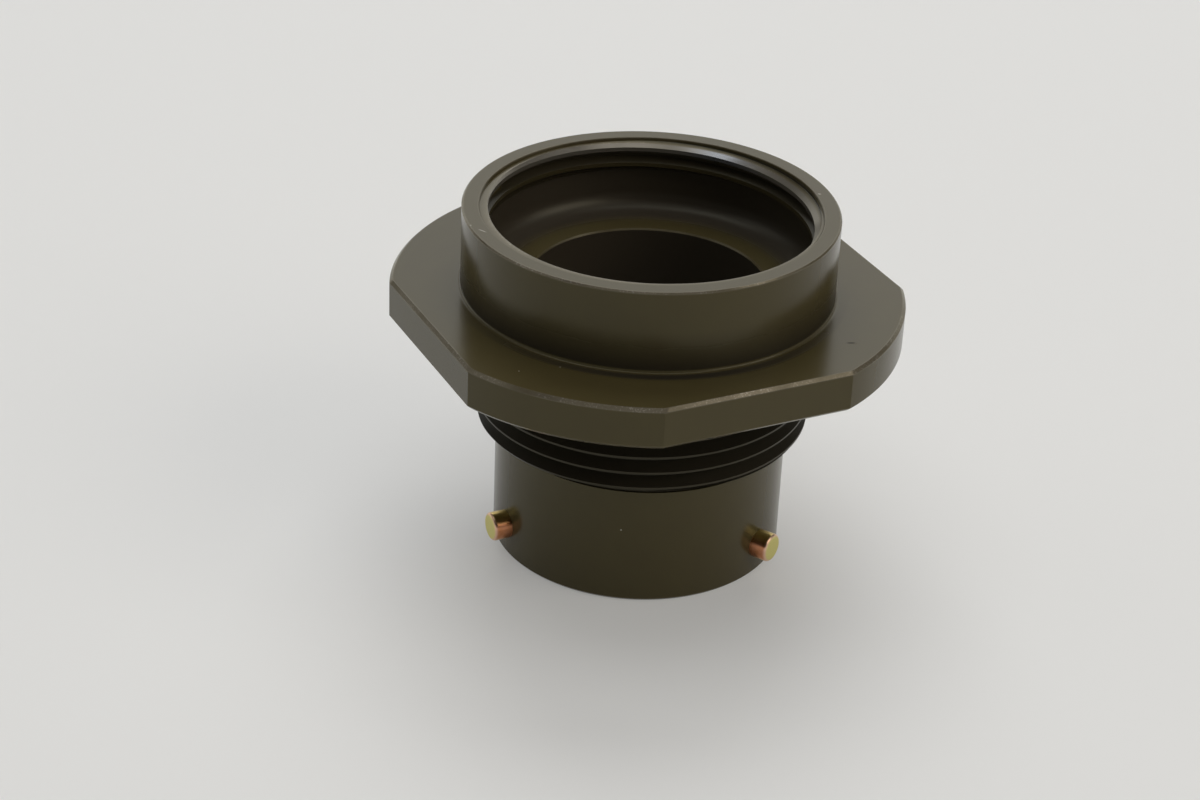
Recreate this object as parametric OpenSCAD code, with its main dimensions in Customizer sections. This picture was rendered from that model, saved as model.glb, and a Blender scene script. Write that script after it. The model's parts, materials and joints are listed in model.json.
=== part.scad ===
// Bare receptacle shell of a bayonet-coupled circular connector, with its three coupling pins.
// Millimetres, standing on its mating face, +Z along the axis towards the rear collar.

/* [Mating barrel] */
// Outside diameter of the plain barrel that the plug's ring goes over
barrel_d = 22.2; // [18:0.1:26]
// Length from the mating face to the threaded body
barrel_len = 10.05; // [7:0.05:14]
// Wall left between the barrel's outside and the mating cavity
barrel_wall = 1.2; // [0.9:0.05:1.8]
// Depth of the mating cavity from the mating face
cavity_depth = 9.2; // [6:0.1:12]
// Chamfer on the barrel's two end edges
barrel_edge = 0.2; // [0.1:0.05:0.4]

/* [Keyways] */
// Radial depth of the keyways in the cavity wall
key_depth = 0.55; // [0.3:0.05:0.8]
// Length of the keyways from the mating face
key_len = 7.6; // [4:0.1:9]
// Width of the master keyway
master_w = 2.7; // [2:0.1:3.5]
// Width of each of the narrow keyways
minor_w = 1.4; // [1:0.1:2]
// Direction of the master keyway about the axis, degrees from +X
master_at = 0; // [0:5:355]
// Angles of the narrow keyways, degrees from the master keyway
minor_at = [105, 140, 215, 265];

/* [Threaded body] */
// Radial step from the barrel up to the thread's crests, which makes them 25.2 across
thread_rise = 1.5; // [1:0.05:2.5]
// Length of the threaded body, up to the flange
thread_len = 7.8; // [5:0.1:12]
// Chamfer at the thread's free end
thread_lead = 0.5; // [0.2:0.05:0.9]
// Distance from crest to crest, which the crests' width and the grooves' depth follow
thread_pitch = 1.27; // [0.9:0.01:1.6]
// Radial depth of the relief between the thread and the flange
relief_depth = 0.85; // [0.5:0.05:1.2]
// Width of that relief
relief_w = 1.1; // [0.6:0.1:2]

/* [Flange] */
// How far the flange's round corners stand out past the thread, which makes them 38.5 across
flange_over = 6.65; // [5:0.05:9]
// Depth of the flats below the round corners, which leaves 35.5 across a pair
flat_cut = 1.5; // [0.8:0.05:2.5]
// Thickness of the flange
flange_t = 3.17; // [2:0.05:5]
// Chamfer on the flange's edges, flats included
flange_edge = 0.22; // [0.1:0.02:0.5]
// How far the sealing ring's groove in the flange's underside reaches out past the thread
seal_over = 1.2; // [0.6:0.1:2]
// Depth of that groove
seal_depth = 0.9; // [0.4:0.1:1.6]

/* [Rear collar] */
// How far the collar's wall stands out past the thread, which makes it 28 across
collar_over = 1.4; // [0.5:0.05:3]
// Height of the collar above the flange
collar_h = 6.3; // [4:0.1:10]
// Chamfer on the collar's outer rim
collar_edge = 0.1; // [0.05:0.05:0.3]
// Radius at the foot of the collar
collar_foot = 0.35; // [0.1:0.05:0.8]

/* [Rear socket] */
// Width of the collar's flat rim, out from the shallow step at the socket's mouth
rim_w = 1.3; // [0.9:0.05:2]
// Depth of that step
mouth_depth = 0.25; // [0.1:0.05:0.6]
// Radial height of the rear thread's crests, inwards from the step
rear_thread_rise = 0.65; // [0.4:0.05:1]
// Distance from crest to crest of the rear thread
rear_pitch = 1.27; // [0.9:0.01:1.3]
// Depth of its first crest from the rim
rear_first = 0.76; // [0.5:0.02:1.2]
// Depth where the rear thread ends
socket_thread_depth = 2.7; // [1.5:0.1:3.6]
// Thickness of the collar's wall below the rear thread
collar_wall = 1.15; // [0.8:0.05:2]
// Depth of the socket's floor from the rim
socket_depth = 6; // [4.5:0.1:9]
// Radius in the corner between wall and floor
socket_corner = 1.5; // [0.5:0.1:1.8]

/* [Through bore] */
// Width of the shoulder that the bore leaves at the end of the mating cavity
bore_shoulder = 1.05; // [0.5:0.05:3]
// Chamfer on the bore's upper edge
bore_edge = 0.2; // [0.1:0.05:0.4]

/* [Bayonet pins] */
// Diameter of the coupling pins
pin_d = 2.2; // [1.6:0.1:2.8]
// How far the pins' free ends stay inside the thread's crests, so that a nut passes over them
pin_under = 0.15; // [0.05:0.05:0.6]
// Height of the pins' centres above the mating face
pin_up = 2.52; // [2:0.02:5]
// How far the pins' inner ends stay back from the cavity wall
pin_inset = 0.1; // [0:0.05:0.4]
// Rounding on the pins' outer ends
pin_edge = 0.25; // [0.1:0.05:0.5]
// Direction of the first pin about the axis, degrees from +X
pin_at = 180; // [0:5:355]

/* [Hidden] */
barrel_r = barrel_d / 2;
cavity_r = barrel_r - barrel_wall;
bore_r = cavity_r - bore_shoulder;
thread_r = barrel_r + thread_rise;
relief_r = thread_r - relief_depth;
thread_crest = thread_pitch / 8;
thread_depth = 0.614 * thread_pitch;
seal_r = thread_r + seal_over;
flange_r = thread_r + flange_over;
flat_r = flange_r - flat_cut;
collar_r = thread_r + collar_over;
mouth_r = collar_r - rim_w;
socket_r = mouth_r - rear_thread_rise;
rear_crest = rear_pitch / 4;
rear_depth = rear_pitch / 2;
socket_relief_r = collar_r - collar_wall;
pin_r = pin_d / 2;
flange_under = barrel_len + thread_len;
flange_top = flange_under + flange_t;
total_h = flange_top + collar_h;
floor_z = total_h - socket_depth;
pin_seat_r = cavity_r + pin_inset;
pin_tip_r = thread_r - pin_under;
pin_count = 3;
flat_count = 4;
over = 1;
lap = 0.1;
flank_slope = tan(30);
shell_color = [0.30, 0.28, 0.23];
pin_color = [0.80, 0.70, 0.40];
$fn = 96;

// Section of one thread groove between 60 degree flanks, reaching depth in +X from the crests
module groove_section(pitch, crest, depth) {
    mouth = (pitch - crest) / 2;
    root = mouth - depth * flank_slope;
    flare = mouth + over * flank_slope;
    polygon([[-over, flare], [depth, root], [depth, -root], [-over, -flare]]);
}

// Half section of the outside, with the body thread's grooves as rings of the same pitch
module outside_section() {
    first_groove = barrel_len + thread_lead + thread_crest + thread_pitch / 2;
    difference() {
        outside_blank();
        for (z = [first_groove:thread_pitch:flange_under - relief_w])
            translate([thread_r, z])
                mirror([1, 0])
                    groove_section(thread_pitch, thread_crest, thread_depth);
    }
}

// Barrel, crests of the thread with its lead chamfer, relief and seal groove, flange, collar
module outside_blank() {
    polygon([
        [0, 0],
        [barrel_r - barrel_edge, 0],
        [barrel_r, barrel_edge],
        [barrel_r, barrel_len],
        [thread_r - thread_lead, barrel_len],
        [thread_r, barrel_len + thread_lead],
        [thread_r, flange_under - relief_w],
        [relief_r, flange_under - relief_w],
        [relief_r, flange_under + seal_depth],
        [seal_r, flange_under + seal_depth],
        [seal_r, flange_under],
        [flange_r - flange_edge, flange_under],
        [flange_r, flange_under + flange_edge],
        [flange_r, flange_top - flange_edge],
        [flange_r - flange_edge, flange_top],
        [collar_r, flange_top],
        [collar_r, total_h - collar_edge],
        [collar_r - collar_edge, total_h],
        [0, total_h]
    ]);
    // concave radius where the collar stands on the flange
    difference() {
        translate([collar_r - lap, flange_top - lap])
            square(collar_foot + lap);
        translate([collar_r + collar_foot, flange_top + collar_foot])
            circle(collar_foot);
    }
}

// Half section of what is bored out from the rear: mouth step, thread, plain wall, rounded corner, floor
module socket_section() {
    first_groove = rear_first - rear_pitch / 2;
    translate([0, total_h - mouth_depth])
        square([mouth_r, mouth_depth + over]);
    translate([0, total_h - socket_thread_depth])
        square([socket_r, socket_thread_depth + over]);
    for (d = [first_groove:rear_pitch:socket_thread_depth])
        translate([socket_r, total_h - d])
            groove_section(rear_pitch, rear_crest, rear_depth);
    difference() {
        translate([0, floor_z])
            square([socket_relief_r, socket_depth - socket_thread_depth]);
        difference() {
            translate([socket_relief_r - socket_corner, floor_z - over])
                square([socket_corner + over, socket_corner + over]);
            translate([socket_relief_r - socket_corner, floor_z + socket_corner])
                circle(socket_corner);
        }
    }
}

// Half section of the bore, the mating cavity and their edges
module bore_section() {
    polygon([
        [0, floor_z + over],
        [bore_r + bore_edge + over, floor_z + over],
        [bore_r, floor_z - bore_edge],
        [bore_r, cavity_depth],
        [cavity_r, cavity_depth],
        [cavity_r, barrel_edge],
        [cavity_r + barrel_edge + over, -over],
        [0, -over]
    ]);
}

// One flat of the flange with the chamfers along its upper and lower edge
module flange_flat() {
    span = 2 * flange_r;
    bevel = flange_edge * sqrt(2);
    translate([flat_r, -span / 2, flange_under - over])
        cube([flat_cut + over, span, flange_t + 2 * over]);
    for (z = [flange_under, flange_top])
        translate([flat_r, 0, z])
            rotate([0, 45, 0])
                cube([bevel, span, bevel], center = true);
}

// One straight keyway in the cavity wall, along +X
module keyway(width) {
    translate([0, -width / 2, -over])
        cube([cavity_r + key_depth, width, key_len + over]);
}

// A pin lying along +X from its seat in the wall to its free end
module pin_body() {
    rotate([0, 90, 0])
        rotate_extrude($fn = 48)
            polygon([
                [0, pin_seat_r],
                [pin_r, pin_seat_r],
                [pin_r, pin_tip_r - pin_edge],
                [pin_r - pin_edge, pin_tip_r],
                [0, pin_tip_r]
            ]);
}

module placed_pin(index) {
    translate([0, 0, pin_up])
        rotate([0, 0, pin_at + index * 360 / pin_count])
            pin_body();
}

module shell() {
    color(shell_color)
    difference() {
        rotate_extrude()
            difference() {
                outside_section();
                socket_section();
                bore_section();
            }
        for (k = [0:flat_count - 1])
            rotate([0, 0, k * 360 / flat_count])
                flange_flat();
        rotate([0, 0, master_at])
            keyway(master_w);
        for (a = minor_at)
            rotate([0, 0, master_at + a])
                keyway(minor_w);
        for (k = [0:pin_count - 1])
            translate([0, 0, pin_up])
                rotate([0, 0, pin_at + k * 360 / pin_count])
                    rotate([0, 90, 0])
                        translate([0, 0, cavity_r - over])
                            cylinder(r = pin_r, h = barrel_wall + 2 * over, $fn = 48);
    }
}

module bayonet_pin_1() {
    color(pin_color) placed_pin(0);
}

module bayonet_pin_2() {
    color(pin_color) placed_pin(1);
}

module bayonet_pin_3() {
    color(pin_color) placed_pin(2);
}

shell();
bayonet_pin_1();
bayonet_pin_2();
bayonet_pin_3();
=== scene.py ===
import json
import math

import bmesh
import bpy
import numpy as np
from mathutils import Matrix, Vector


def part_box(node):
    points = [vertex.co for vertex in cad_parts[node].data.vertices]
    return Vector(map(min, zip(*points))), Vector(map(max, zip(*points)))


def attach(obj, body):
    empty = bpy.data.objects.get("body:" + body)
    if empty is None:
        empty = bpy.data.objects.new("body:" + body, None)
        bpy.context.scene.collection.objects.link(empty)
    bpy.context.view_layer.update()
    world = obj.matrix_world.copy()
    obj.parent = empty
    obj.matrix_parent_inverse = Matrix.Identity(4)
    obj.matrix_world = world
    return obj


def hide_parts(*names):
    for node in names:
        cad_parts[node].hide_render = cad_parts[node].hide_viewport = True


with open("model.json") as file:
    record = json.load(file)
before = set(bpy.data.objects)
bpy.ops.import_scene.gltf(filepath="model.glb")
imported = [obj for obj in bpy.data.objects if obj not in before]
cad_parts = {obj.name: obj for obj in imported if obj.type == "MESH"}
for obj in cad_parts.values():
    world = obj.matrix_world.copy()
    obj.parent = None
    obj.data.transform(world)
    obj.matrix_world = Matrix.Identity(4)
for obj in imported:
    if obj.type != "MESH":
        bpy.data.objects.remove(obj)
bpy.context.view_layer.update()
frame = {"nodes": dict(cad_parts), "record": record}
mm = 0.001  # sizes below are in millimetres, Blender works in metres
mounts = {mount["name"]: mount for mount in frame["record"]["mounts"]}
print("frame loaded:", ", ".join(sorted(frame["nodes"])))


# Camera: fitted to the photo's edges, so the shell lies where it lies there
photoView = {
    "frame": (1200, 800),
    "fromFront": -27.8,  # degrees the camera stands round from -Y, minus is towards -X
    "elevation": 28.35,
    "roll": 3.1,
    "distance": 205.05,  # from the point that it is aimed by
    "aimHeight": 14.0,  # of that point, on the shell's axis
    "aimPixel": (643.33, 366.14),  # where that point lies in the frame
    "lens": 80.98,
    "sensor": 36.0,
    "nearest": 10,  # what is nearer isn't shown
}


def aroundShell(turn):
    # level direction at an angle counted from the camera's side towards the right of the picture
    angle = math.radians(photoView["fromFront"] + turn)
    return Vector((math.sin(angle), -math.cos(angle), 0))


def makeCamera(view):
    lift = math.radians(view["elevation"])
    back = aroundShell(0) * math.cos(lift) + Vector((0, 0, math.sin(lift)))
    right = aroundShell(90)
    down = back.cross(right) * -1
    aimed = Matrix((right, down, -back))  # rows: right, down and forward of a camera aimed straight
    focal = view["lens"] / view["sensor"] * view["frame"][0]
    offX = view["aimPixel"][0] - view["frame"][0] / 2
    offY = view["aimPixel"][1] - view["frame"][1] / 2
    pan = Matrix.Rotation(math.atan2(offX, focal), 3, "Y")
    tilt = Matrix.Rotation(-math.atan2(offY, math.hypot(focal, offX)), 3, "X")
    roll = Matrix.Rotation(math.radians(view["roll"]), 3, "Z")
    rows = pan @ tilt @ roll @ aimed
    turned = Matrix((rows[0], -rows[1], -rows[2])).transposed().to_4x4()
    place = (Vector((0, 0, view["aimHeight"])) + back * view["distance"]) * mm
    data = bpy.data.cameras.new("photoCamera")
    data.lens = view["lens"]
    data.sensor_width = view["sensor"]
    data.clip_start = view["nearest"] * mm
    camera = bpy.data.objects.new("photoCamera", data)
    camera.matrix_world = Matrix.Translation(place) @ turned
    bpy.context.scene.collection.objects.link(camera)
    bpy.context.scene.camera = camera


makeCamera(photoView)
print("camera placed")


# Nodes and colours
def hexColour(code):
    # sRGB hex to the linear values that the shaders take
    parts = [int(code[i:i + 2], 16) / 255 for i in (1, 3, 5)]
    return tuple(c / 12.92 if c <= 0.04045 else ((c + 0.055) / 1.055) ** 2.4 for c in parts) + (1,)


def addNode(tree, kind, settings=None, values=None, links=None):
    # settings are the node's own properties, values its sockets, links where its sockets come from
    node = tree.nodes.new(kind)
    for name, value in (settings or {}).items():
        setattr(node, name, value)
    for socket, value in (values or {}).items():
        node.inputs[socket].default_value = value
    for socket, source in (links or {}).items():
        tree.links.new(source, node.inputs[socket])
    return node


def newMaterial(name):
    material = bpy.data.materials.new(name)
    material.use_nodes = True
    material.node_tree.nodes.clear()
    return material, material.node_tree


# Plated shell: aluminium turned from bar, milled, then plated and dipped to olive drab. It gives the eye a
# thin satin brown-green film that mirrors softly at a slant, a little paler where edges are rubbed. Shade is
# painted darker into its grooves and corners, and a highlight lighter onto the rear thread's mouth.
olivePlating = {
    "film": "#463e27",
    "thinFilm": "#4a4329",
    "pooled": "#1d1b1c",  # painted shade in the grooves and corners, and the colour of the real stains
    "inside": "#443e34",  # the duller film in the socket and the bore
    "rubbed": "#6b6456",  # half film, half metal, on rubbed edges
    "burnished": "#8a8e95",  # metal showing through on the rear thread, lightened as a painted highlight
    "bare": "#a5a195",  # metal that shows in nicks and chipped edges, and dust
    "gloss": "#fffeea",  # tint of what the film mirrors
    "cloud": 2.6,  # size of the film's uneven patches
    "cloudRange": (0.35, 0.65),  # the part of that pattern that wear follows
    "leastWear": 0.55,  # share of the wear that is left in the thickest patches
    "grain": 0.16,  # size of the etched grain, drawn a few times coarser than real so that it shows
    "grainDepth": 0.01,
    "grainStrength": 0.12,
    "turning": 0.22,  # spacing of the turning marks, drawn about twice as coarse as real
    "turningDepth": 0.002,
    "chip": 0.13,  # size of the chips along rubbed edges
    "chipRange": (0.56, 0.66),  # the part of their pattern that is the edge of a chip
    "chipWear": (0.6, 1),  # wear at which chips start and are at their palest
    "chipStrength": 0.5,
    "chipEnd": (1, 1.1),  # rubbing at which they fade, as burnished metal is smooth
    "dustSpacing": 3.4,
    "dustSize": 0.05,
    "dustShare": 0.08,  # share of the cells that have a speck
    "roughness": (0.19, 0.23),
    "pooledRoughness": 0.45,
    "insideRoughness": 0.36,
    "stainRoughness": 0.8,
    "rubbedMetal": 0.35,
    "rubbedRoughness": 0.17,
    "burnishedMetal": 0.5,
    "ior": 1.37,
}
markEdge = 0.5  # share of a mark's half size over which it fades out


def marksOn(tree, place, marks):
    # how much of a mark a point lies in, from 0 outside to 1 well inside
    most = None
    for turn, radius, height, length, width, slant in marks:
        spot = aroundShell(turn) * radius + Vector((0, 0, height))
        inMark = addNode(tree, "ShaderNodeMapping", {"vector_type": "TEXTURE"},
                         {"Location": spot * mm,
                          "Rotation": (0, 0, math.radians(photoView["fromFront"] + turn - slant)),
                          "Scale": (length * mm, width * mm, width * mm)}, {"Vector": place})
        shape = addNode(tree, "ShaderNodeTexGradient", {"gradient_type": "SPHERICAL"},
                        links={"Vector": inMark.outputs["Vector"]}).outputs["Fac"]
        if most:
            shape = addNode(tree, "ShaderNodeMath", {"operation": "MAXIMUM"},
                            links={0: most, 1: shape}).outputs[0]
        most = shape
    inside = addNode(tree, "ShaderNodeMapRange", values={"From Max": markEdge}, links={"Value": most})
    return inside.outputs["Result"]


def chipsOn(tree, place, look, wearAndShade, wear):
    # bare spots along the sharpest part of an edge, none where it is burnished smooth
    chips = addNode(tree, "ShaderNodeTexNoise", values={"Scale": 1 / (look["chip"] * mm), "Detail": 1},
                    links={"Vector": place})
    start, full = look["chipRange"]
    chipped = addNode(tree, "ShaderNodeMapRange", values={"From Min": start, "From Max": full},
                      links={"Value": chips.outputs["Fac"]})
    start, full = look["chipWear"]
    sharp = addNode(tree, "ShaderNodeMapRange",
                    values={"From Min": start, "From Max": full, "To Max": look["chipStrength"]},
                    links={"Value": wear})
    start, full = look["chipEnd"]
    smooth = addNode(tree, "ShaderNodeMapRange",
                     values={"From Min": start, "From Max": full, "To Min": 1, "To Max": 0},
                     links={"Value": wearAndShade})
    chip = chipped.outputs["Result"]
    for share in (sharp, smooth):
        chip = addNode(tree, "ShaderNodeMath", {"operation": "MULTIPLY"},
                       links={0: chip, 1: share.outputs["Result"]}).outputs[0]
    return chip


def dustOn(tree, place, look):
    # only a few random cells have a speck
    cells = addNode(tree, "ShaderNodeTexVoronoi", values={"Scale": 1 / (look["dustSpacing"] * mm)},
                    links={"Vector": place})
    speck = addNode(tree, "ShaderNodeMath", {"operation": "LESS_THAN"},
                    {1: look["dustSize"] / look["dustSpacing"]}, {0: cells.outputs["Distance"]})
    chance = addNode(tree, "ShaderNodeSeparateColor", links={"Color": cells.outputs["Color"]})
    chosen = addNode(tree, "ShaderNodeMath", {"operation": "LESS_THAN"}, {1: look["dustShare"]},
                     {0: chance.outputs["Red"]})
    return addNode(tree, "ShaderNodeMath", {"operation": "MULTIPLY"},
                   links={0: speck.outputs[0], 1: chosen.outputs[0]}).outputs[0]


def turnedAndEtched(tree, place, look):
    # turning marks follow the distance along the turned section, so they ring every turned face
    along = addNode(tree, "ShaderNodeAttribute", {"attribute_name": "alongSection"})
    rings = addNode(tree, "ShaderNodeTexNoise", {"noise_dimensions": "1D"},
                    {"Scale": 1 / look["turning"], "Detail": 3}, {"W": along.outputs["Fac"]})
    turned = addNode(tree, "ShaderNodeBump", values={"Distance": look["turningDepth"] * mm},
                     links={"Height": rings.outputs["Fac"]})
    grain = addNode(tree, "ShaderNodeTexNoise", values={"Scale": 1 / (look["grain"] * mm), "Detail": 2},
                    links={"Vector": place})
    return addNode(tree, "ShaderNodeBump",
                   values={"Strength": look["grainStrength"], "Distance": look["grainDepth"] * mm},
                   links={"Height": grain.outputs["Fac"],
                          "Normal": turned.outputs["Normal"]}).outputs["Normal"]


def oliveDrabPlating(look, nicks, stains):
    material, tree = newMaterial("oliveDrabPlatedAluminium")
    place = addNode(tree, "ShaderNodeTexCoord").outputs["Object"]
    cloud = addNode(tree, "ShaderNodeTexNoise", values={"Scale": 1 / (look["cloud"] * mm), "Detail": 4},
                    links={"Vector": place})
    film = addNode(tree, "ShaderNodeMix", {"data_type": "RGBA"},
                   {"A": hexColour(look["film"]), "B": hexColour(look["thinFilm"])},
                   {"Factor": cloud.outputs["Fac"]})
    # the inside attribute is 1 in the socket and the bore, 0 elsewhere
    inside = addNode(tree, "ShaderNodeAttribute", {"attribute_name": "inside"}).outputs["Fac"]
    # the rubbed attribute is below 0 where shade is painted in grooves and corners, 1 on rubbed edges, 2 on
    # burnished metal that carries a painted highlight
    wearAndShade = addNode(tree, "ShaderNodeAttribute", {"attribute_name": "rubbed"}).outputs["Fac"]
    # share of the painted shade, where the rubbed attribute is below 0
    paintedShade = addNode(tree, "ShaderNodeMapRange", values={"From Min": 0, "From Max": -1},
                    links={"Value": wearAndShade})
    # share of burnished metal lightened as a painted highlight, where the rubbed attribute is above 1
    bright = addNode(tree, "ShaderNodeMapRange", values={"From Min": 1, "From Max": 2},
                     links={"Value": wearAndShade})
    least, most = look["cloudRange"]
    uneven = addNode(tree, "ShaderNodeMapRange",
                     values={"From Min": least, "From Max": most, "To Min": look["leastWear"]},
                     links={"Value": cloud.outputs["Fac"]})
    wear = addNode(tree, "ShaderNodeMath", {"operation": "MULTIPLY", "use_clamp": True},
                   links={0: wearAndShade, 1: uneven.outputs["Result"]}).outputs[0]
    pale = dustOn(tree, place, look)
    for share in (marksOn(tree, place, nicks), chipsOn(tree, place, look, wearAndShade, wear)):
        pale = addNode(tree, "ShaderNodeMath", {"operation": "MAXIMUM"}, links={0: pale, 1: share}).outputs[0]
    stain = marksOn(tree, place, stains)
    # each layer of colour lies over the one before
    colour = film.outputs["Result"]
    # the dark colour goes on twice: as painted shade in grooves and corners, and as real stains
    for name, share in (("inside", inside), ("pooled", paintedShade.outputs["Result"]),
                        ("rubbed", wear), ("burnished", bright.outputs["Result"]),
                        ("pooled", stain), ("bare", pale)):
        colour = addNode(tree, "ShaderNodeMix", {"data_type": "RGBA"}, {"B": hexColour(look[name])},
                         {"Factor": share, "A": colour}).outputs["Result"]
    rough = addNode(tree, "ShaderNodeMapRange",
                    values={"To Min": look["roughness"][0], "To Max": look["roughness"][1]},
                    links={"Value": cloud.outputs["Fac"]}).outputs["Result"]
    for name, share in (("rubbedRoughness", wear), ("insideRoughness", inside),
                        ("pooledRoughness", paintedShade.outputs["Result"]), ("stainRoughness", stain)):
        rough = addNode(tree, "ShaderNodeMix", {"data_type": "FLOAT"}, {"B": look[name]},
                        {"Factor": share, "A": rough}).outputs["Result"]
    shown = addNode(tree, "ShaderNodeMath", {"operation": "MULTIPLY"}, {1: look["burnishedMetal"]},
                    {0: bright.outputs["Result"]})
    metal = addNode(tree, "ShaderNodeMath", {"operation": "MULTIPLY_ADD"}, {1: look["rubbedMetal"]},
                    {0: wear, 2: shown.outputs[0]})
    shader = addNode(tree, "ShaderNodeBsdfPrincipled",
                     values={"IOR": look["ior"], "Specular Tint": hexColour(look["gloss"])},
                     links={"Base Color": colour, "Roughness": rough, "Metallic": metal.outputs[0],
                            "Normal": turnedAndEtched(tree, place, look)})
    addNode(tree, "ShaderNodeOutputMaterial", links={"Surface": shader.outputs["BSDF"]})
    return material


# Bayonet pins: turned metal with a yellow passivated plating. It gives the eye a straw-yellow end face and
# pinkish flanks, as thin films of this kind do, with a highlight painted pinkish-white round the end's edge
# and a straw highlight and reflection painted along the flank's top and bottom.
yellowPlating = {
    "endFace": "#dcd386",
    # painted highlight round the end's edge
    "rounding": "#e8c0a8",
    "flank": "#d89a7c",
    "flankDeep": "#b8763f",
    "straw": "#d8c07a",  # painted highlight along the top and painted reflection along the bottom of the flank
    "strawRange": (0.5, 0.95),  # how upright the flank is where that painted straw starts and is full
    "patch": 0.5,  # size of the film's uneven patches
    "roughness": (0.26, 0.36),
    "endRoughness": 0.42,
}


def yellowPassivatedPlating(look):
    material, tree = newMaterial("yellowPassivatedPin")
    place = addNode(tree, "ShaderNodeTexCoord").outputs["Object"]
    patch = addNode(tree, "ShaderNodeTexNoise", values={"Scale": 1 / (look["patch"] * mm), "Detail": 3},
                    links={"Vector": place})
    flank = addNode(tree, "ShaderNodeMix", {"data_type": "RGBA"},
                    {"A": hexColour(look["flankDeep"]), "B": hexColour(look["flank"])},
                    {"Factor": patch.outputs["Fac"]})
    # the upright attribute is 1 along the top and bottom of the flank, 0 along its sides
    upright = addNode(tree, "ShaderNodeAttribute", {"attribute_name": "upright"})
    start, full = look["strawRange"]
    level = addNode(tree, "ShaderNodeMapRange", values={"From Min": start, "From Max": full},
                    links={"Value": upright.outputs["Fac"]})
    # painted straw highlight and reflection along the flank's top and bottom
    colour = addNode(tree, "ShaderNodeMix", {"data_type": "RGBA"}, {"B": hexColour(look["straw"])},
                     {"Factor": level.outputs["Result"], "A": flank.outputs["Result"]}).outputs["Result"]
    # the endFace attribute is 0 on the flank, 1 half round the edge and 2 on the end face
    face = addNode(tree, "ShaderNodeAttribute", {"attribute_name": "endFace"})
    # the rounding colour is a painted highlight round the end's edge
    for name, start in (("rounding", 0), ("endFace", 1)):
        share = addNode(tree, "ShaderNodeMapRange", values={"From Min": start, "From Max": start + 1},
                        links={"Value": face.outputs["Fac"]})
        colour = addNode(tree, "ShaderNodeMix", {"data_type": "RGBA"}, {"B": hexColour(look[name])},
                         {"Factor": share.outputs["Result"], "A": colour}).outputs["Result"]
    rough = addNode(tree, "ShaderNodeMapRange",
                    values={"To Min": look["roughness"][0], "To Max": look["roughness"][1]},
                    links={"Value": patch.outputs["Fac"]})
    # the last share is the end face's, which is duller
    rough = addNode(tree, "ShaderNodeMix", {"data_type": "FLOAT"}, {"B": look["endRoughness"]},
                    {"Factor": share.outputs["Result"], "A": rough.outputs["Result"]})
    shader = addNode(tree, "ShaderNodeBsdfPrincipled", values={"Metallic": 1},
                     links={"Base Color": colour, "Roughness": rough.outputs["Result"]})
    addNode(tree, "ShaderNodeOutputMaterial", links={"Surface": shader.outputs["BSDF"]})
    return material


# Shell: one turned section swept round the axis, with what depends on the angle (flats, keyways and
# the two helical threads) worked out column by column
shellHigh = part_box("shell")[1] / mm
shellSize = {
    "height": shellHigh.z,
    "flatR": shellHigh.x,
    "flangeR": 19.25,
    "flangeUnder": mounts["panel_face"]["pos_m"][2] / mm,
    "flangeThick": 3.17,
    "flangeEdge": 0.22,
    "barrelR": 11.1,
    "barrelLength": 10.05,
    "barrelEdge": 0.2,
    "runoutDepth": 0.16,  # where the tool ran out below the thread
    "runoutWidth": 0.6,
    "cavityR": mounts["mating_cavity"]["dims"]["r_mm"],
    "cavityDepth": 9.2,
    "keyDepth": 0.55,
    "keyLength": 7.6,
    "keyways": [(0, 2.7), (105, 1.4), (140, 1.4), (215, 1.4), (265, 1.4)],  # angle and width
    "keySide": 0.01,  # degrees that a keyway's two edges stand off its exact side
    "reliefR": 11.75,
    "reliefWidth": 1.1,
    "sealR": 13.8,
    "sealDepth": 0.9,
    "collarR": 14.0,
    "collarEdge": 0.1,
    "collarFoot": 0.2,
    "mouthR": 12.7,
    "mouthDepth": 0.25,
    "mouthEdge": 0.05,
    "socketDepth": 6.0,
    "socketReliefR": 12.85,
    "socketCorner": 1.5,
    "boreR": mounts["through_bore"]["dims"]["r_mm"],
    "boreEdge": 0.12,
}
# how rubbed the shell's edges are and how much shade is painted in its grooves and corners: below 0 is
# painted shade, 1 is rubbed, 2 burnished
shellWearAndShade = {
    "fade": 0.1,  # how far the rubbing of an edge fades out beside it
    "step": 0.02,  # how far a change takes where it is sharp
    "matingEdge": 0.5,
    # painted shade in the runout, the relief and the seal groove
    "runout": -0.6,
    "relief": -0.9,
    "sealFloor": -0.5,
    "sealEdge": -0.3,
    "flangeLowerEdge": 0.5,
    "flangeUpperEdge": 1,
    "footPooled": (10, 0.75),  # turn where the painted shade on the flange beside the foot is darkest, and how much
    "footBand": (0.15, 0.6, 0.9),  # out from the foot: where that painted shade starts, fades and ends
    # painted shade on the collar's wall above its foot
    "collarFilm": -0.65,
    "collarBand": (0.05, 3.2),  # above the foot and the flange: where that painted shade is darkest and where it ends
    "collarRim": 1,
    "mouthEdge": 0.6,
    "insideFade": 1.2,  # how far the socket's duller film reaches over the floor
    "boreEdge": 0.3,
}
bodyThread = {
    "pitch": 1.27,
    "crestR": mounts["body_thread"]["dims"]["r_mm"],
    "rootDepth": 0.9,
    "crestFlat": 0.16,
    "lead": 0.5,  # chamfer at the free end
    "crestAt": 10.708,  # height of one crest on the camera's side
    # painted shade along the thread, darker on its flanks
    "crestWear": -0.65,
    "flankWear": -0.75,
}
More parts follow.
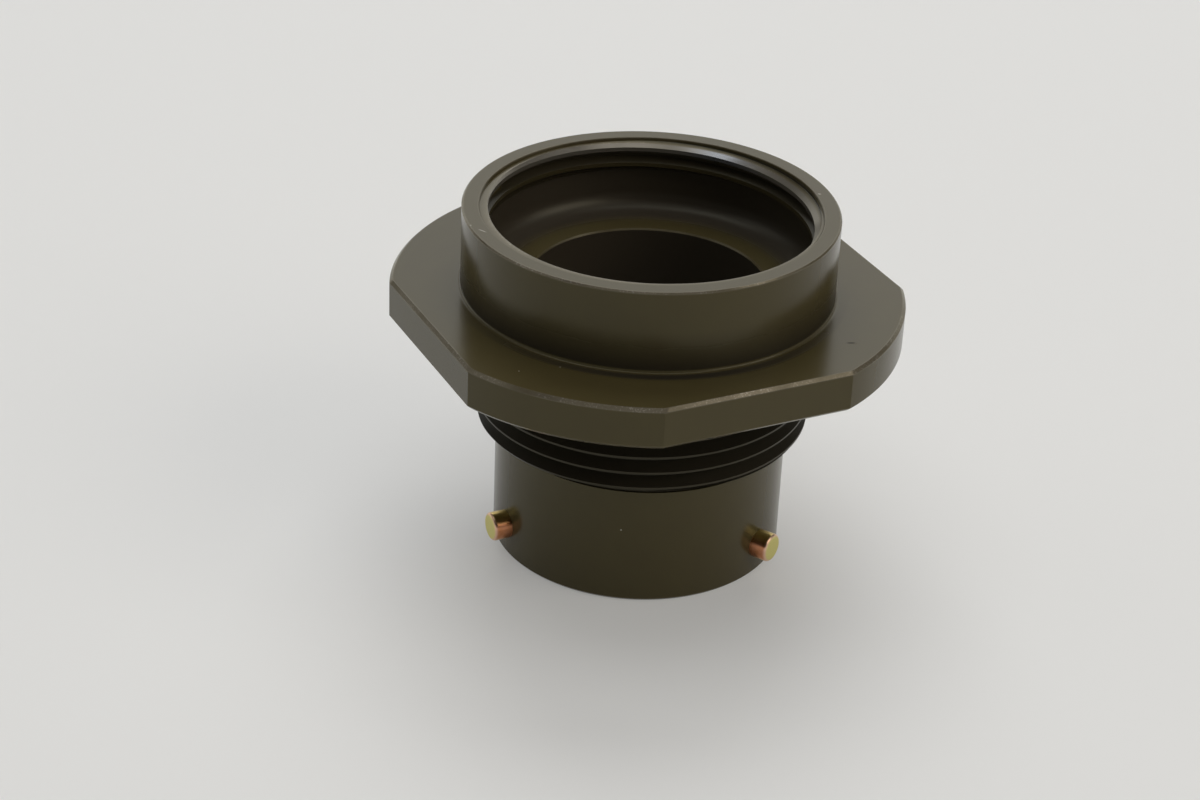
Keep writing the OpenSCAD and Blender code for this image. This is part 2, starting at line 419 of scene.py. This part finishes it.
rearThread = {
    "pitch": 1.27,
    "crestR": mounts["rear_socket"]["dims"]["r_mm"],
    "rootDepth": 0.65,
    "crestFlat": 0.32,
    "crestAt": 26.56,  # height of one crest on the far side
    "end": 2.7,  # depth where it runs out
    # painted shade along the thread, darker on its flanks
    "crestWear": -0.3,
    "flankWear": -0.6,
    "mouthWear": 1.15,
    "burnished": 1.1,  # depth from the mouth down over which its ring is burnished and carries a painted highlight
    "burnishedFlank": 0.4,  # share of the flank, up from the root, over which that grows
    "rubbedMost": (155, 11, 0.65),  # turn where its painted highlight is brightest, spread and how much more
}
# marks: turn from the camera's side, radius, height, half the length and width, slant from the rim's line
rimTop = shellSize["height"]
flangeTop = shellSize["flangeUnder"] + shellSize["flangeThick"]
shellNicks = [
    (-65.3, 13.28, rimTop, 0.45, 0.055, -30),
    (-69.9, 13.82, rimTop, 0.08, 0.08, 0),
    (107.2, 13.03, rimTop, 0.16, 0.08, -60),
    (-30.5, 17.08, flangeTop, 0.06, 0.06, 0),
    (-22.9, 14.99, flangeTop, 0.06, 0.06, 0),
    (-5.1, shellSize["barrelR"], 6.15, 0.08, 0.08, 0),
]
shellStains = [
    (62.3, 16.78, flangeTop, 0.4, 0.1, 55),
]
shellFinish = oliveDrabPlating(olivePlating, shellNicks, shellStains)
pinFinish = yellowPassivatedPlating(yellowPlating)
print("materials made")

columnCount = 360  # even steps round the shell
flankSteps = 5  # rows along one flank of a thread
cornerSteps = 14  # rows along the socket's corner radius
weldDistance = 0.0005  # points of the shell nearer than this become one
sharpAngle = 18  # degrees, steeper folds keep a sharp line
flankSlope = math.tan(math.radians(60))  # radial drop of a 60 degree thread over its axial run
cameraSide = 270 + photoView["fromFront"]  # the camera's side as an angle from +X


def halfKeyAngle(size, width):
    return math.degrees(math.asin(width / 2 / size["cavityR"]))


def columnAngles(size):
    # even steps, with the corners of the flats and the sides of the keyways put in exactly and the even
    # ones nearer to those than a quarter step left out
    corner = math.degrees(math.acos(size["flatR"] / size["flangeR"]))
    exact = [quarter + side for quarter in (0, 90, 180, 270) for side in (-corner, corner)]
    for middle, width in size["keyways"]:
        half = halfKeyAngle(size, width)
        for edge in (half - size["keySide"], half + size["keySide"]):
            exact += [middle - edge, middle + edge]
    exact = np.array(sorted(angle % 360 for angle in exact))
    step = 360 / columnCount
    even = np.arange(1, columnCount) * step
    gap = np.abs(even[:, None] - exact[None, :]).min(1)
    even = even[gap > step / 4]
    return np.concatenate(([0], np.sort(np.concatenate((even, exact))), [360]))


def threadRadius(thread, inside, height, angles, crestAngle):
    # radius of the thread's surface: crest flat, flanks and root flat, repeated each pitch along a helix
    pitch = thread["pitch"]
    crest = thread["crestAt"] + pitch * (angles - crestAngle) / 360
    away = np.abs((height - crest + pitch / 2) % pitch - pitch / 2)
    drop = np.clip((away - thread["crestFlat"] / 2) * flankSlope, 0, thread["rootDepth"])
    return thread["crestR"] + (drop if inside else -drop)


def threadRows(thread, inside, low, high, angles, crestAngle):
    # helical rows from low to high, each held at the ends of the thread
    pitch = thread["pitch"]
    edge = thread["crestFlat"] / 2
    root = edge + thread["rootDepth"] / flankSlope
    # the flank's painted shade starts a step past the crest's edge
    flank = np.concatenate(([edge], np.linspace(edge + shellWearAndShade["step"], root, flankSteps)))
    offsets = np.concatenate((-flank[::-1], flank, [pitch / 2]))
    start = thread["crestAt"] - pitch * crestAngle / 360
    first = math.floor((low - start) / pitch) - 2
    last = math.ceil((high - start) / pitch) + 1
    rows = []
    for turn in range(first, last + 1):
        for offset in offsets:
            height = np.clip(start + (turn + angles / 360) * pitch + offset, low, high)
            radius = threadRadius(thread, inside, height, angles, crestAngle)
            if not inside:
                radius = np.minimum(radius, thread["crestR"] - thread["lead"] + height - low)
            # painted shade along the thread, its own depth on the crest and on the flanks
            onCrest = abs(offset) < edge + shellWearAndShade["step"] / 2
            wear = thread["crestWear"] if onCrest else thread["flankWear"]
            # near the mouth the rear thread turns from painted shade to rubbed and burnished metal towards
            # the crest, with a painted highlight brightest at one turn
            if inside:
                turned, spread, amount = thread["rubbedMost"]
                aside = (angles - cameraSide - turned + 180) % 360 - 180
                paintedHighlight = amount * np.exp(-(aside / spread) ** 2)
                up = 1 - (radius - thread["crestR"]) / thread["rootDepth"]  # 1 on the crest, 0 at the root
                share = np.clip(up / thread["burnishedFlank"], 0, 1)
                mouth = wear + (thread["mouthWear"] + paintedHighlight - wear) * share
                wear = np.where(height > high - thread["burnished"], mouth, wear)
            rows.append((radius, height, wear))
    return rows


def arcPoints(centre, radius, fromAngle, toAngle, steps=8):
    turns = np.radians(np.linspace(fromAngle, toAngle, steps + 1))
    return [(centre[0] + radius * math.cos(t), centre[1] + radius * math.sin(t)) for t in turns]


def shellRows(size, wear, angles):
    # up the outside and down the inside; every row is a radius, a height, how rubbed it is (below 0, how much
    # shade is painted on it) and, where it has one more, how much inside it is; plain numbers stand for whole
    # rings
    top = size["height"]
    under = size["flangeUnder"]
    flange = under + size["flangeThick"]
    floorZ = top - size["socketDepth"]
    fade = wear["fade"]
    step = wear["step"]
    toFlat = np.cos(np.radians((angles + 45) % 90 - 45))

    def flatted(inset):
        return np.minimum(size["flangeR"] - inset, (size["flatR"] - inset) / toFlat)

    inKey = np.zeros(len(angles))
    for middle, width in size["keyways"]:
        half = halfKeyAngle(size, width)
        inKey[np.abs((angles - middle + 180) % 360 - 180) < half] = 1
    keyed = size["cavityR"] + size["keyDepth"] * inKey

    # mating face, barrel and the tool's runout
    barrelR = size["barrelR"]
    edge = size["barrelEdge"]
    worn = wear["matingEdge"]
    rows = [(keyed + edge, 0, worn), (barrelR - edge, 0, worn), (barrelR, edge, worn),
            (barrelR, edge + fade, 0)]
    runout = size["barrelLength"] - size["runoutWidth"]
    runoutR = barrelR - size["runoutDepth"]
    rows += [(barrelR, runout, 0), (runoutR, runout + step, wear["runout"]),
             (runoutR, size["barrelLength"], wear["runout"])]

    # body thread, relief and seal groove
    threadTop = under - size["reliefWidth"]
    sealTop = under + size["sealDepth"]
    rows += threadRows(bodyThread, False, size["barrelLength"], threadTop, angles, cameraSide)
    rows += [(size["reliefR"], threadTop, wear["relief"]), (size["reliefR"], sealTop, wear["relief"]),
             (size["sealR"], sealTop, wear["sealFloor"]), (size["sealR"], under, wear["sealEdge"])]

    # flange
    edge = size["flangeEdge"]
    worn = wear["flangeLowerEdge"]
    rows += [(flatted(edge + fade), under, 0), (flatted(edge), under, worn), (flatted(0), under + edge, worn),
             (flatted(0), under + edge + fade, 0)]
    worn = wear["flangeUpperEdge"]
    rows += [(flatted(0), flange - edge - fade, 0), (flatted(0), flange - edge, worn),
             (flatted(edge), flange, worn), (flatted(edge + fade), flange, 0)]

    # collar, from its foot to the rim and the shallow step at its mouth
    collarR = size["collarR"]
    foot = size["collarFoot"]
    # painted shade on the flange beside the collar's foot, darkest towards the camera's side, and on the
    # collar's wall just above the foot
    turned, amount = wear["footPooled"]
    pooled = -amount * np.clip(np.cos(np.radians(angles - cameraSide - turned)), 0, 1) ** 2
    starts, fadesFrom, ends = (collarR + foot + out for out in wear["footBand"])
    rows += [(ends, flange, 0), (fadesFrom, flange, pooled), (starts, flange, pooled)]
    rows += [(r, z, 0) for r, z in arcPoints((collarR + foot, flange + foot), foot, 270, 180)]
    darkestAt, ends = wear["collarBand"]
    rows += [(collarR, flange + foot + darkestAt, wear["collarFilm"]), (collarR, flange + ends, 0)]
    edge = size["collarEdge"]
    worn = wear["collarRim"]
    rows += [(collarR, top - edge - fade, 0), (collarR, top - edge, worn), (collarR - edge, top, worn),
             (collarR - edge - fade, top, 0)]
    mouthR = size["mouthR"]
    edge = size["mouthEdge"]
    worn = wear["mouthEdge"]
    rows += [(mouthR + edge + fade, top, 0), (mouthR + edge, top, worn), (mouthR, top - edge, worn),
             (mouthR, top - size["mouthDepth"], 0)]

    # rear thread, socket wall, corner and floor
    threadEnd = top - rearThread["end"]
    rows += threadRows(rearThread, True, threadEnd, top - size["mouthDepth"], angles, cameraSide + 180)[::-1]
    rows.append((size["socketReliefR"], threadEnd, 0, 1))
    corner = size["socketCorner"]
    cornerR = size["socketReliefR"] - corner
    rows += [(r, z, 0, 1) for r, z in arcPoints((cornerR, floorZ + corner), corner, 0, -90, cornerSteps)]
    rows.append((cornerR - wear["insideFade"], floorZ, 0))

    # bore and keyed cavity
    boreR = size["boreR"]
    edge = size["boreEdge"]
    worn = wear["boreEdge"]
    rows += [(boreR + edge + step, floorZ, 0), (boreR + edge, floorZ, worn), (boreR, floorZ - edge, worn),
             (boreR, floorZ - edge - step, 0, 1), (boreR, size["cavityDepth"], 0, 1),
             (size["cavityR"], size["cavityDepth"], 0), (size["cavityR"], size["keyLength"], 0),
             (keyed, size["keyLength"], 0), (keyed, size["barrelEdge"], wear["matingEdge"])]
    return [row if len(row) == 4 else row + (0,) for row in rows]


def meshFromRows(name, rows, angles):
    # the rows joined up all round, with what the finish needs to know at each point
    count = len(angles)
    turns = np.radians(angles)
    points = np.empty((len(rows), count, 3))
    section = np.empty((len(rows), count, 2))
    looks = {look: np.empty((len(rows), count)) for look in ("rubbed", "inside", "alongSection")}
    for k, (radius, height, rubbed, inside) in enumerate(rows):
        section[k, :, 0] = radius
        section[k, :, 1] = height
        looks["rubbed"][k] = rubbed
        looks["inside"][k] = inside
    points[:, :, 0] = section[:, :, 0] * np.cos(turns)
    points[:, :, 1] = section[:, :, 0] * np.sin(turns)
    points[:, :, 2] = section[:, :, 1]
    steps = np.linalg.norm(np.diff(section, axis=0), axis=2)
    looks["alongSection"][0] = 0
    looks["alongSection"][1:] = np.cumsum(steps, axis=0)
    faces = []
    for k in range(len(rows)):
        here = k * count
        after = (k + 1) % len(rows) * count
        faces += [(here + c, here + c + 1, after + c + 1, after + c) for c in range(count - 1)]
    mesh = bpy.data.meshes.new(name)
    mesh.from_pydata((points.reshape(-1, 3) * mm).tolist(), [], faces)
    for look, values in looks.items():
        mesh.attributes.new(look, "FLOAT", "POINT").data.foreach_set("value", values.ravel())
    work = bmesh.new()
    work.from_mesh(mesh)
    bmesh.ops.remove_doubles(work, verts=work.verts, dist=weldDistance * mm)
    bmesh.ops.recalc_face_normals(work, faces=work.faces)
    work.to_mesh(mesh)
    work.free()
    return mesh


def addPiece(name, mesh, material, node):
    mesh.materials.append(material)
    mesh.shade_smooth()
    mesh.set_sharp_from_angle(angle=math.radians(sharpAngle))
    piece = bpy.data.objects.new(name, mesh)
    bpy.context.scene.collection.objects.link(piece)
    weights = piece.modifiers.new("evenShading", "WEIGHTED_NORMAL")
    weights.keep_sharp = True
    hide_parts(node)
    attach(piece, "root")


# Pins: turned pegs with a rounded end, pressed into holes through the barrel wall
pinSize = {
    "radius": 1.1,
    "endRound": 0.25,
    "height": 2.52,
    "seatR": shellSize["cavityR"] + 0.1,  # the inner ends stay just back from the cavity wall
    "tipR": bodyThread["crestR"] - 0.15,  # a nut passes over them
    "capRing": 0.55,  # radius of one more ring on each end face
    "drillLength": 3.3,  # of the tool that cuts their holes, half of it inwards from the seat
    "sides": 64,
}


def pinDirection(node):
    low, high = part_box(node)
    middle = low + high
    return math.atan2(middle.y, middle.x)


def cutPinHoles(mesh, size, directions):
    work = bmesh.new()
    for angle in directions:
        seat = Matrix.Translation((size["seatR"] * mm, 0, size["height"] * mm))
        place = Matrix.Rotation(angle, 4, "Z") @ seat @ Matrix.Rotation(math.pi / 2, 4, "Y")
        bmesh.ops.create_cone(work, cap_ends=True, segments=size["sides"], radius1=size["radius"] * mm,
                              radius2=size["radius"] * mm, depth=size["drillLength"] * mm, matrix=place)
    drillMesh = bpy.data.meshes.new("pinDrill")
    work.to_mesh(drillMesh)
    work.free()
    drill = bpy.data.objects.new("pinDrill", drillMesh)
    blank = bpy.data.objects.new("shellBlank", mesh)
    for helper in (drill, blank):
        bpy.context.scene.collection.objects.link(helper)
    cut = blank.modifiers.new("pinHoles", "BOOLEAN")
    cut.object = drill
    cut.solver = "EXACT"
    drilled = bpy.data.meshes.new_from_object(blank.evaluated_get(bpy.context.evaluated_depsgraph_get()))
    for helper in (drill, blank):
        bpy.data.objects.remove(helper)
    return drilled


pinNodes = [f"bayonet_pin_{number}" for number in (1, 2, 3)]
shellAngles = columnAngles(shellSize)
shellMesh = meshFromRows("turnedShell", shellRows(shellSize, shellWearAndShade, shellAngles), shellAngles)
shellMesh = cutPinHoles(shellMesh, pinSize, [pinDirection(node) for node in pinNodes])
addPiece("turnedShell", shellMesh, shellFinish, "shell")
print("shell turned:", len(shellMesh.polygons), "faces")


def pinRows(size):
    # every row is a radius, a distance out from the shell's axis and how much of the end face it is
    tip = size["tipR"]
    rows = [(size["capRing"], size["seatR"], 0), (size["radius"], size["seatR"], 0)]
    bend = size["endRound"]
    arc = arcPoints((size["radius"] - bend, tip - bend), bend, 0, 90)
    rows += [(r, z, 2 * k / (len(arc) - 1)) for k, (r, z) in enumerate(arc)]
    rows.append((size["capRing"], tip, 2))
    return rows


def pinMesh(name, size, angle):
    turns = np.radians(np.arange(size["sides"]) * 360 / size["sides"])
    rows = pinRows(size)
    work = bmesh.new()
    endFace = work.verts.layers.float.new("endFace")
    upright = work.verts.layers.float.new("upright")
    rings = []
    for radius, along, face in rows:
        ring = [work.verts.new((along, radius * math.cos(t), radius * math.sin(t))) for t in turns]
        for vertex, turn in zip(ring, turns):
            vertex[endFace] = face
            vertex[upright] = abs(math.sin(turn))
        rings.append(ring)
    for low, high in zip(rings, rings[1:]):
        for k in range(size["sides"]):
            after = (k + 1) % size["sides"]
            work.faces.new((low[k], low[after], high[after], high[k]))
    work.faces.new(rings[0])
    work.faces.new(rings[-1])
    bmesh.ops.recalc_face_normals(work, faces=work.faces)
    lift = Matrix.Translation((0, 0, size["height"] * mm))
    place = lift @ Matrix.Rotation(angle, 4, "Z") @ Matrix.Scale(mm, 4)
    bmesh.ops.transform(work, matrix=place, verts=work.verts)
    mesh = bpy.data.meshes.new(name)
    work.to_mesh(mesh)
    work.free()
    return mesh


for number, node in enumerate(pinNodes, 1):
    name = f"bayonetPin{number}"
    addPiece(name, pinMesh(name, pinSize, pinDirection(node)), pinFinish, node)
print("pins pressed in")


# Stage: a pale floor and soft light from above and behind, weaker from the camera's side
stageLook = {
    "floor": "#efefed",
    "floorRoughness": 0.5,
    "floorWidth": 3000,
    "background": "#d6d6d4",
    "glow": 0.34,  # share of the floor that shows as the pale background itself, so the shadow stays light
    "horizon": (8, 20),  # elevations between which the pale room fades to nothing
}
lampSet = {
    # turn from the camera's side, elevation, distance, shift to the right, width, height, radiance, colour
    "ceiling": (180, 88, 800, -100, 760, 380, 1.78, "#ffffff"),
    "overhead": (180, 56, 800, 0, 640, 340, 3.27, "#ffffff"),
    "back": (180, 33, 800, 0, 800, 350, 1.21, "#ffffff"),
    "backLeft": (235, 12, 900, 0, 800, 350, 0.39, "#ffffff"),
    "sideLeft": (265, 42, 800, 0, 500, 350, 0.55, "#ffffff"),
    "sideRight": (95, 45, 800, 0, 500, 350, 0.43, "#ffffff"),
    "frontHigh": (0, 65, 800, 0, 700, 350, 0.4, "#ffffff"),
    "frontRight": (65, 38, 800, 0, 600, 380, 2.0, "#fff4e6"),
}


def seenRays(tree):
    # 1 for what the eye sees, straight or through a mirror or glass
    path = addNode(tree, "ShaderNodeLightPath").outputs
    mirrored = addNode(tree, "ShaderNodeMath", {"operation": "MAXIMUM"},
                       links={0: path["Is Camera Ray"], 1: path["Is Glossy Ray"]})
    return addNode(tree, "ShaderNodeMath", {"operation": "MAXIMUM"},
                   links={0: mirrored.outputs[0], 1: path["Is Transmission Ray"]}).outputs[0]


def paleFloor(look):
    material, tree = newMaterial("paleFloor")
    board = addNode(tree, "ShaderNodeBsdfPrincipled",
                    values={"Base Color": hexColour(look["floor"]), "Roughness": look["floorRoughness"]})
    pale = addNode(tree, "ShaderNodeEmission", values={"Color": hexColour(look["background"])})
    share = addNode(tree, "ShaderNodeMath", {"operation": "MULTIPLY"}, {1: look["glow"]}, {0: seenRays(tree)})
    both = addNode(tree, "ShaderNodeMixShader",
                   links={0: share.outputs[0], 1: board.outputs[0], 2: pale.outputs[0]})
    addNode(tree, "ShaderNodeOutputMaterial", links={"Surface": both.outputs[0]})
    half = look["floorWidth"] / 2 * mm
    mesh = bpy.data.meshes.new("floor")
    corners = [(-half, -half, 0), (half, -half, 0), (half, half, 0), (-half, half, 0)]
    mesh.from_pydata(corners, [], [(0, 1, 2, 3)])
    mesh.materials.append(material)
    floor = bpy.data.objects.new("floor", mesh)
    bpy.context.scene.collection.objects.link(floor)


def paleRoom(look):
    # pale at eye level, where low views see it, and dark overhead, where the lamps are
    world = bpy.data.worlds.new("paleRoom")
    world.use_nodes = True
    tree = world.node_tree
    tree.nodes.clear()
    place = addNode(tree, "ShaderNodeTexCoord")
    ray = addNode(tree, "ShaderNodeSeparateXYZ", links={"Vector": place.outputs["Generated"]})
    low, high = (math.sin(math.radians(elevation)) for elevation in look["horizon"])
    level = addNode(tree, "ShaderNodeMapRange", {"interpolation_type": "SMOOTHSTEP"},
                    {"From Min": low, "From Max": high, "To Min": 1, "To Max": 0},
                    {"Value": ray.outputs["Z"]})
    room = addNode(tree, "ShaderNodeBackground", values={"Color": hexColour(look["background"])},
                   links={"Strength": level.outputs["Result"]})
    addNode(tree, "ShaderNodeOutputWorld", links={"Surface": room.outputs[0]})
    bpy.context.scene.world = world


def softLamp(name, turn, elevation, distance, aside, width, height, radiance, colour):
    lift = math.radians(elevation)
    toward = aroundShell(turn) * math.cos(lift) + Vector((0, 0, math.sin(lift)))
    data = bpy.data.lights.new(name, "AREA")
    data.shape = "RECTANGLE"
    data.size = width * mm
    data.size_y = height * mm
    data.energy = radiance * math.pi * data.size * data.size_y
    data.color = hexColour(colour)[:3]
    lamp = bpy.data.objects.new(name, data)
    lamp.location = (toward * distance + aroundShell(90) * aside) * mm
    lamp.rotation_euler = toward.to_track_quat("Z", "Y").to_euler()
    lamp.visible_camera = False
    bpy.context.scene.collection.objects.link(lamp)


paleFloor(stageLook)
paleRoom(stageLook)
for name, placing in lampSet.items():
    softLamp(name, *placing)
bpy.context.scene.view_settings.view_transform = "Standard"
print("stage and light set")
